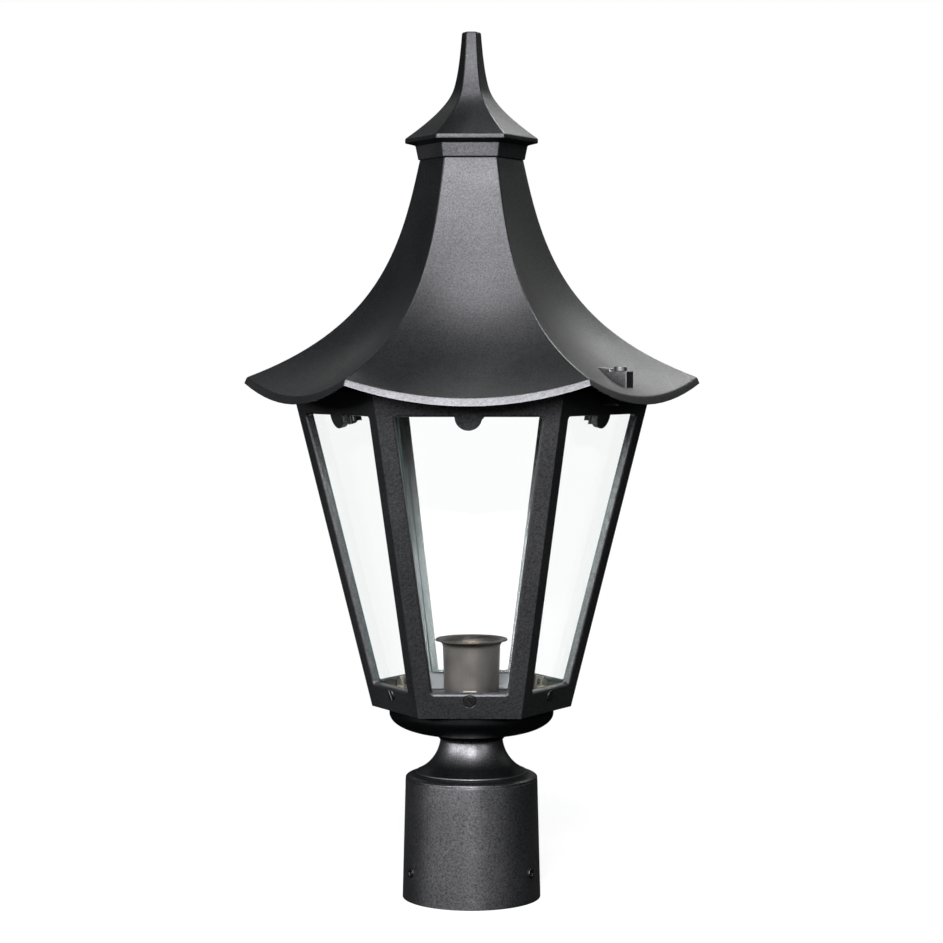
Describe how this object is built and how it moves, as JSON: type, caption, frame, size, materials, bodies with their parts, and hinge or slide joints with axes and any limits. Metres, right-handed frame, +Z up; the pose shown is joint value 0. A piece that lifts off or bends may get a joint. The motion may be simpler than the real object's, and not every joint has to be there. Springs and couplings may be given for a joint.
{
  "type": "post top lantern",
  "caption": "Hexagonal post top lantern: tapered glazed cage under a lift-off bell roof with a spiked finial, on a waisted neck and a round post fitter.",
  "frame": {"origin": "centre of the post fitter's lower rim", "axes": "+Z up along the post's axis, -Y out of the flat side that the picture sees in front, +X to the right of that side and through a corner of the hexagon"},
  "size_m": [0.2846, 0.2464, 0.5386],
  "materials": {
    "black_coat": "cast, with a fine sand-textured black powder coat",
    "black_sheet": "pressed sheet with a smooth black coat",
    "clear_glass": "clear float glass with greenish cut edges",
    "gasket_rubber": "matt closed-cell sponge",
    "yellow_zinc": "dull, cast and tapped",
    "spring_steel": "rolled strip",
    "zinc_steel": "bright zinc plate",
    "black_steel": "black oxide, worn bright at the slots",
    "antique_metal": "spun, with a satin grey-brown finish",
    "porcelain": "white glaze",
    "shell_brass": "rolled thread, satin"
  },
  "bodies": {
    "lantern": {"fitter_collar": "black_coat", "neck": "black_coat", "base_pan": "black_coat", "cage_frame": "black_coat", "floor_plate": "black_sheet", "roof_gasket": "gasket_rubber", "pane_brackets": "yellow_zinc", "pane_clips": "spring_steel", "pane_clip_screws": "zinc_steel", "rail_screws": "black_steel", "stem_pipe": "zinc_steel", "stem_washer_lower": "zinc_steel", "stem_nut_lower": "zinc_steel", "stem_washer_upper": "zinc_steel", "stem_nut_upper": "zinc_steel", "socket_bushing": "zinc_steel", "socket_cup": "antique_metal", "socket_body": "porcelain", "socket_shell": "shell_brass", "socket_contact": "shell_brass", "glass_pane_1": "clear_glass", "glass_pane_2": "clear_glass", "glass_pane_3": "clear_glass", "glass_pane_4": "clear_glass", "glass_pane_5": "clear_glass", "glass_pane_6": "clear_glass"},
    "roof": {"roof": "black_coat", "finial": "black_coat", "finial_rod": "zinc_steel", "finial_washer": "zinc_steel", "finial_nut": "zinc_steel"},
    "roof_screw_right": {"roof_screw_right": "zinc_steel"},
    "roof_screw_left": {"roof_screw_left": "zinc_steel"},
    "set_screw_right": {"set_screw_right": "black_steel"},
    "set_screw_rear": {"set_screw_rear": "black_steel"},
    "set_screw_left": {"set_screw_left": "black_steel"}
  },
  "joints": [
    {"name": "roof_lift", "type": "slide", "parent": "lantern", "child": "roof", "axis": [0, 0, 1], "range_m": [0, 0.25]},
    {"name": "roof_screw_right_out", "type": "slide", "parent": "roof", "child": "roof_screw_right", "axis": [0, 0, 1], "range_m": [0, 0.007]},
    {"name": "roof_screw_left_out", "type": "slide", "parent": "roof", "child": "roof_screw_left", "axis": [0, 0, 1], "range_m": [0, 0.007]},
    {"name": "set_screw_right_in", "type": "slide", "parent": "lantern", "child": "set_screw_right", "axis": [-0.866, 0.5, 0], "range_m": [0, 0.003]},
    {"name": "set_screw_rear_in", "type": "slide", "parent": "lantern", "child": "set_screw_rear", "axis": [0, -1, 0], "range_m": [0, 0.003]},
    {"name": "set_screw_left_in", "type": "slide", "parent": "lantern", "child": "set_screw_left", "axis": [0.866, 0.5, 0], "range_m": [0, 0.003]}
  ]
}
